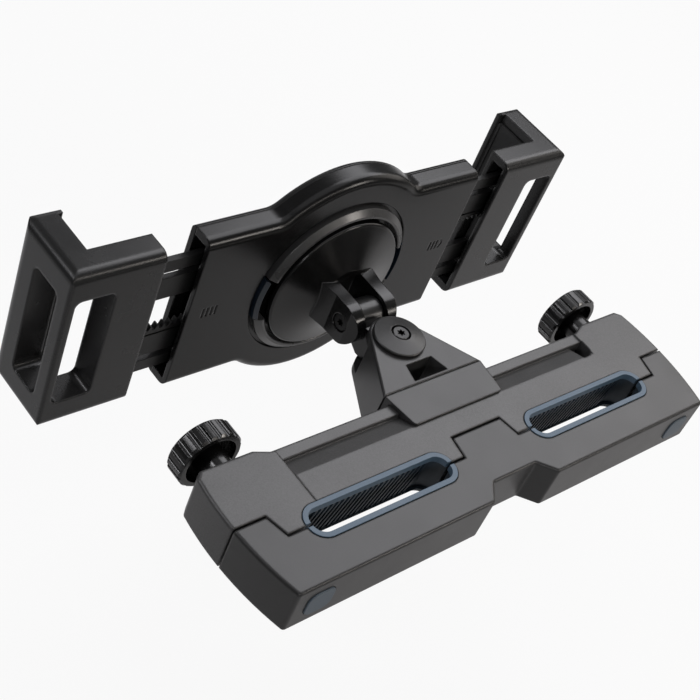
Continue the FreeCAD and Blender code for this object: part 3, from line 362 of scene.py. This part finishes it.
# %% [markdown]
# ## Moulded plastic
#
# Plastic needs two sizes of noise. The fine one is the grain: it tilts the light and speckles the
# colour. The wide one is the faint cloudiness that hands and the mould leave, and it changes the
# colour and the gloss by a few hundredths only, since more would look like dirt.

# %% Plastic
CLOUD_MM = 14.0
CLOUD_DETAIL = 4.0
FADED = (1.05, 1.15)
GLOSS_CHANGE = (0.94, 1.08)


def plastic(name, colour, rough, grain_mm=0.35, depth_mm=0.02, strength=0.35, speckle=0.12,
            round_mm=0.35, mirror=0.5):
    """Moulded plastic with an etched grain, faint cloudiness and soft edges."""
    material, tree, shader = new_material(name)
    place = object_place(tree)
    grain = add_noise(tree, place, grain_mm)
    cloud = add_noise(tree, place, CLOUD_MM, CLOUD_DETAIL)
    fine = add_range(tree, grain, 0.3, 0.7, 0.0, 1.0)
    wide = add_range(tree, cloud, 0.35, 0.65, 0.0, 1.0)
    fresh = add_mix(tree, fine, shade(colour, 1.0 - speckle), shade(colour, 1.0 + speckle))
    faded = add_mix(tree, fine, shade(colour, FADED[0] - speckle),
                    shade(colour, FADED[1] + speckle))
    gloss = add_range(tree, cloud, 0.3, 0.7, *(change * rough for change in GLOSS_CHANGE))
    link(tree, add_mix(tree, wide, fresh, faded), shader.inputs["Base Color"])
    link(tree, gloss, shader.inputs["Roughness"])
    shader.inputs["Specular IOR Level"].default_value = mirror
    bumps = add_bump(tree, grain, depth_mm, strength, add_edges(tree, round_mm))
    link(tree, bumps, shader.inputs["Normal"])
    return material


def dress(material, *names):
    """Give these CAD pieces this finish."""
    for name in names:
        piece = nodes[name]
        if not piece.material_slots:
            piece.data.materials.append(material)
        for slot in piece.material_slots:
            slot.material = material
    print(material.name, "on", len(names), "pieces")


print("cloudiness about", CLOUD_MM, "mm wide")

# %% [markdown]
# ## Which plastic is where
#
# The rear jaw is the palest and most grainy piece, and the arm and the front jaw are smoother. The
# hub, the cradle and the grips are nearly black, and what we see on them is the room. The knobs
# are the glossiest, as a thumb keeps them polished. The gear and the washers are plain nylon.

# %% Dress the plastic pieces
NYLON_WARMTH = 0.03

# name, colour, roughness, what else differs, the pieces
PLASTICS = (
    ("rear_jaw_grain", grey(0.040), 0.36,
     {"grain_mm": 0.5, "depth_mm": 0.03, "strength": 0.5, "speckle": 0.25, "round_mm": 1.2,
      "mirror": 0.42},
     ("rear_jaw", "rail_end_cap")),
    ("front_jaw_satin", grey(0.016), 0.33,
     {"strength": 0.2, "round_mm": 1.2, "mirror": 0.38},
     ("front_jaw",)),
    ("arm_satin", grey(0.024), 0.34,
     {"strength": 0.2, "round_mm": 0.9, "mirror": 0.38},
     ("carriage", "arm")),
    ("link_satin", grey(0.008), 0.3,
     {"round_mm": 0.5, "mirror": 0.42},
     ("link",)),
    ("hub_satin", grey(0.004), 0.2,
     {"round_mm": 0.6, "mirror": 0.35},
     ("hub",)),
    ("cradle_satin", grey(0.004), 0.24,
     {"grain_mm": 0.45, "depth_mm": 0.01, "strength": 0.2, "round_mm": 0.8, "mirror": 0.25},
     ("cradle_rear_shell", "cradle_front_plate")),
    ("ring_satin", grey(0.035), 0.28,
     {},
     ("collar_ring",)),
    ("slide_satin", grey(0.006), 0.4,
     {"mirror": 0.3},
     ("slide_left", "slide_right")),
    ("grip_satin", grey(0.012), 0.26,
     {"grain_mm": 0.45, "depth_mm": 0.01, "strength": 0.2, "round_mm": 1.4, "mirror": 0.32},
     ("grip_left", "grip_right")),
    ("knob_gloss", grey(0.004), 0.2,
     {"grain_mm": 0.6, "depth_mm": 0.01, "strength": 0.2, "speckle": 0.05, "mirror": 0.4},
     ("knob_left", "knob_right")),
    ("gear_nylon", grey(0.5, NYLON_WARMTH), 0.45,
     {},
     ("sync_pinion", "pan_washers", "tilt_washers")),
)

for name, colour, rough, more, pieces in PLASTICS:
    dress(plastic(name, colour, rough, **more), *pieces)

# %% [markdown]
# ## Rubber and foam
#
# The slots are lined with blue-grey rubber, ribbed inside, so that the posts are gripped and not
# scratched. Rubber has no hard glint; its sheen is wide and dim, and its colour is a little
# uneven where the parting line of the mould has been rubbed.
#
# Inside the slots the same rubber looks much darker, as little light reaches there. That shade is
# painted: the colour fades to dark below a height, so that one material does for the whole lining.

# %% Rubber
LINING = (0.060, 0.098, 0.140, 1.0)
CORNER = (0.052, 0.072, 0.092, 1.0)
TAB = (0.006, 0.011, 0.018, 1.0)
# the painted shade inside the slots: the height it starts below, how soft its edge is, how dark it
# gets
RIM_FOOT = 8.2 * MM
FADE = 0.8 * MM
INSIDE_SHADE = 0.3
LINERS = ("rear_liner_left", "rear_liner_right", "front_liner_left", "front_liner_right")


def paint_shade_below(material, height, by):
    """Paint shade into a finish: darker below a height, where light hardly reaches."""
    tree = material.node_tree
    colour = tree.nodes["Principled BSDF"].inputs["Base Color"]
    given = colour.links[0].from_socket
    parts = tree.nodes.new("ShaderNodeSeparateXYZ")
    link(tree, object_place(tree), parts.inputs[0])
    share = add_range(tree, parts.outputs["Z"], height - FADE, height, by, 1.0)
    dark = tree.nodes.new("ShaderNodeVectorMath")
    dark.operation = "SCALE"
    link(tree, given, dark.inputs[0])
    link(tree, share, dark.inputs["Scale"])
    link(tree, dark.outputs[0], colour)


lining = plastic("lining_rubber", LINING, 0.5, grain_mm=0.25, strength=0.3, speckle=0.08,
                 round_mm=0.3)
# painted shade: the lining's colour is darkened below the foot of its rim, inside the slots
paint_shade_below(lining, RIM_FOOT, INSIDE_SHADE)
dress(lining, *LINERS)
dress(plastic("corner_rubber", CORNER, 0.5), "corner_pad_left", "corner_pad_right")
dress(plastic("tab_rubber", TAB, 0.3), "release_tab_left", "release_tab_right")
dress(plastic("pad_foam", grey(0.02), 0.8), "cradle_pads", "grip_pad_left", "grip_pad_right")

# %% [markdown]
# ## The open slots
#
# The picture shows white right through the slots, with only a thin wall of rubber at the bottom.
# So each lining loses its lower rim here. The faces could be picked and deleted one by one, but
# that leaves holes in the mesh. Instead, a flat, round-ended block is subtracted from a copy of
# the lining, and a wall as thick as the one between the ribs is left all round.

# %% Open the linings below
WALL = 0.7 * MM
LOWER_RIM = 2.65 * MM
SEAT_HALF = 7.0 * MM
ARC_STEPS = 24


def round_ended_block(x0, x1, middle_y, half, z0, z1):
    """A block whose outline is two straight sides and two half circles."""
    outline = []
    for x, start in ((x1 - half, -0.5), (x0 + half, 0.5)):
        for step in range(ARC_STEPS + 1):
            angle = math.pi * (start + step / ARC_STEPS)
            outline.append((x + half * math.cos(angle), middle_y + half * math.sin(angle)))
    count = len(outline)
    corners = [(x, y, z) for z in (z0, z1) for x, y in outline]
    faces = [tuple(reversed(range(count))), tuple(range(count, 2 * count))]
    for i in range(count):
        j = (i + 1) % count
        faces.append((i, j, count + j, count + i))
    mesh = bpy.data.meshes.new("block")
    mesh.from_pydata(corners, [], faces)
    block = bpy.data.objects.new("block", mesh)
    scene.collection.objects.link(block)
    return block


def body_of(source):
    """The name of the body that a CAD piece moves with."""
    return next(body for body, empty in frame["bodies"].items() if empty == source.parent)


def open_below(name):
    """A copy of a lining without its lower rim, in place of the CAD one."""
    source = nodes[name]
    low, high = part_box(name)
    middle_y = high.y - SEAT_HALF if name.startswith("rear") else low.y + SEAT_HALF
    cutter = round_ended_block(low.x + WALL, high.x - WALL, middle_y, SEAT_HALF - WALL,
                               low.z - MM, low.z + LOWER_RIM)
    piece = bpy.data.objects.new(name + "_open", source.data.copy())
    scene.collection.objects.link(piece)
    cut = piece.modifiers.new("cut", "BOOLEAN")
    cut.operation = "DIFFERENCE"
    cut.solver = "EXACT"
    cut.object = cutter
    seen = piece.evaluated_get(bpy.context.evaluated_depsgraph_get())
    piece.data = bpy.data.meshes.new_from_object(seen)
    piece.modifiers.clear()
    bpy.data.objects.remove(cutter)
    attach(piece, body_of(source))
    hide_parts(name)
    return piece


for name in LINERS:
    print(name, "now has", len(open_below(name).data.polygons), "faces")

# %% [markdown]
# ## Steel
#
# The screws that show are blackened steel, and the hidden ones are zinc plated. Metal has no
# colour of its own under the glint: the whole of its look is reflection, broken up by fine
# scratches.

# %% Steel
SCRATCH_MM = 0.15
SMEAR_MM = 2.0


def steel(name, colour, rough):
    """Steel with fine random scratches."""
    material, tree, shader = new_material(name)
    place = object_place(tree)
    scratch = add_noise(tree, place, SCRATCH_MM, 2.0)
    smear = add_noise(tree, place, SMEAR_MM)
    tint = add_mix(tree, smear, shade(colour, 0.8), shade(colour, 1.15))
    shader.inputs["Metallic"].default_value = 1.0
    link(tree, tint, shader.inputs["Base Color"])
    link(tree, add_range(tree, smear, 0.3, 0.7, rough - 0.05, rough + 0.1),
         shader.inputs["Roughness"])
    link(tree, add_bump(tree, scratch, 0.01, 0.3, add_edges(tree, 0.2)), shader.inputs["Normal"])
    return material


dress(steel("screw_steel", grey(0.04), 0.32),
      "pivot_screw", "tilt_screw", "arm_screws", "end_cap_screw", "cradle_screws",
      "slide_screws_left", "slide_screws_right", "turntable_screws")
dress(steel("zinc_steel", grey(0.62), 0.3),
      "clamp_nut_left", "clamp_nut_right", "guide_pin_left", "guide_pin_right",
      "clamp_screw_left", "clamp_screw_right", "thrust_washer_left", "thrust_washer_right",
      "screw_collar_left", "screw_collar_right", "pivot_nut", "tilt_nut", "turntable_plate")

# %% [markdown]
# ## The turned disc
#
# The cap over the arm's pivot is finished with fine rings round its screw, as if it had been
# turned on a lathe. Rings follow the distance from the pivot, so a ring wave centred there is all
# that is needed.

# %% Turned rings
PAN_AXIS = (0.0, 0.0595, 0.0)
RING_MM = 0.5
ONE_METRE_RINGS = 0.314


def turned(name, colour, rough, centre, pitch_mm):
    """A finish with fine rings round an upright axis."""
    material, tree, shader = new_material(name)
    mapping = tree.nodes.new("ShaderNodeMapping")
    mapping.inputs["Location"].default_value = tuple(-c for c in centre)
    link(tree, object_place(tree), mapping.inputs["Vector"])
    wave = tree.nodes.new("ShaderNodeTexWave")
    wave.wave_type = "RINGS"
    wave.rings_direction = "Z"
    wave.inputs["Scale"].default_value = ONE_METRE_RINGS / (pitch_mm * MM)
    wave.inputs["Distortion"].default_value = 0.0
    link(tree, mapping.outputs["Vector"], wave.inputs["Vector"])
    rings = wave.outputs["Fac"]
    tint = add_mix(tree, rings, shade(colour, 0.85), shade(colour, 1.15))
    link(tree, tint, shader.inputs["Base Color"])
    shader.inputs["Roughness"].default_value = rough
    link(tree, add_bump(tree, rings, 0.03, 0.4, add_edges(tree, 0.3)), shader.inputs["Normal"])
    return material


dress(turned("turned_disc", grey(0.012), 0.38, PAN_AXIS, RING_MM), "pivot_cap")

# %% [markdown]
# ## Last look
#
# Every piece must have a finish, so the pieces without one are listed before the end.

# %% Check and finish
bare = [name for name, piece in nodes.items() if not piece.material_slots]
print("pieces with no finish:", bare)
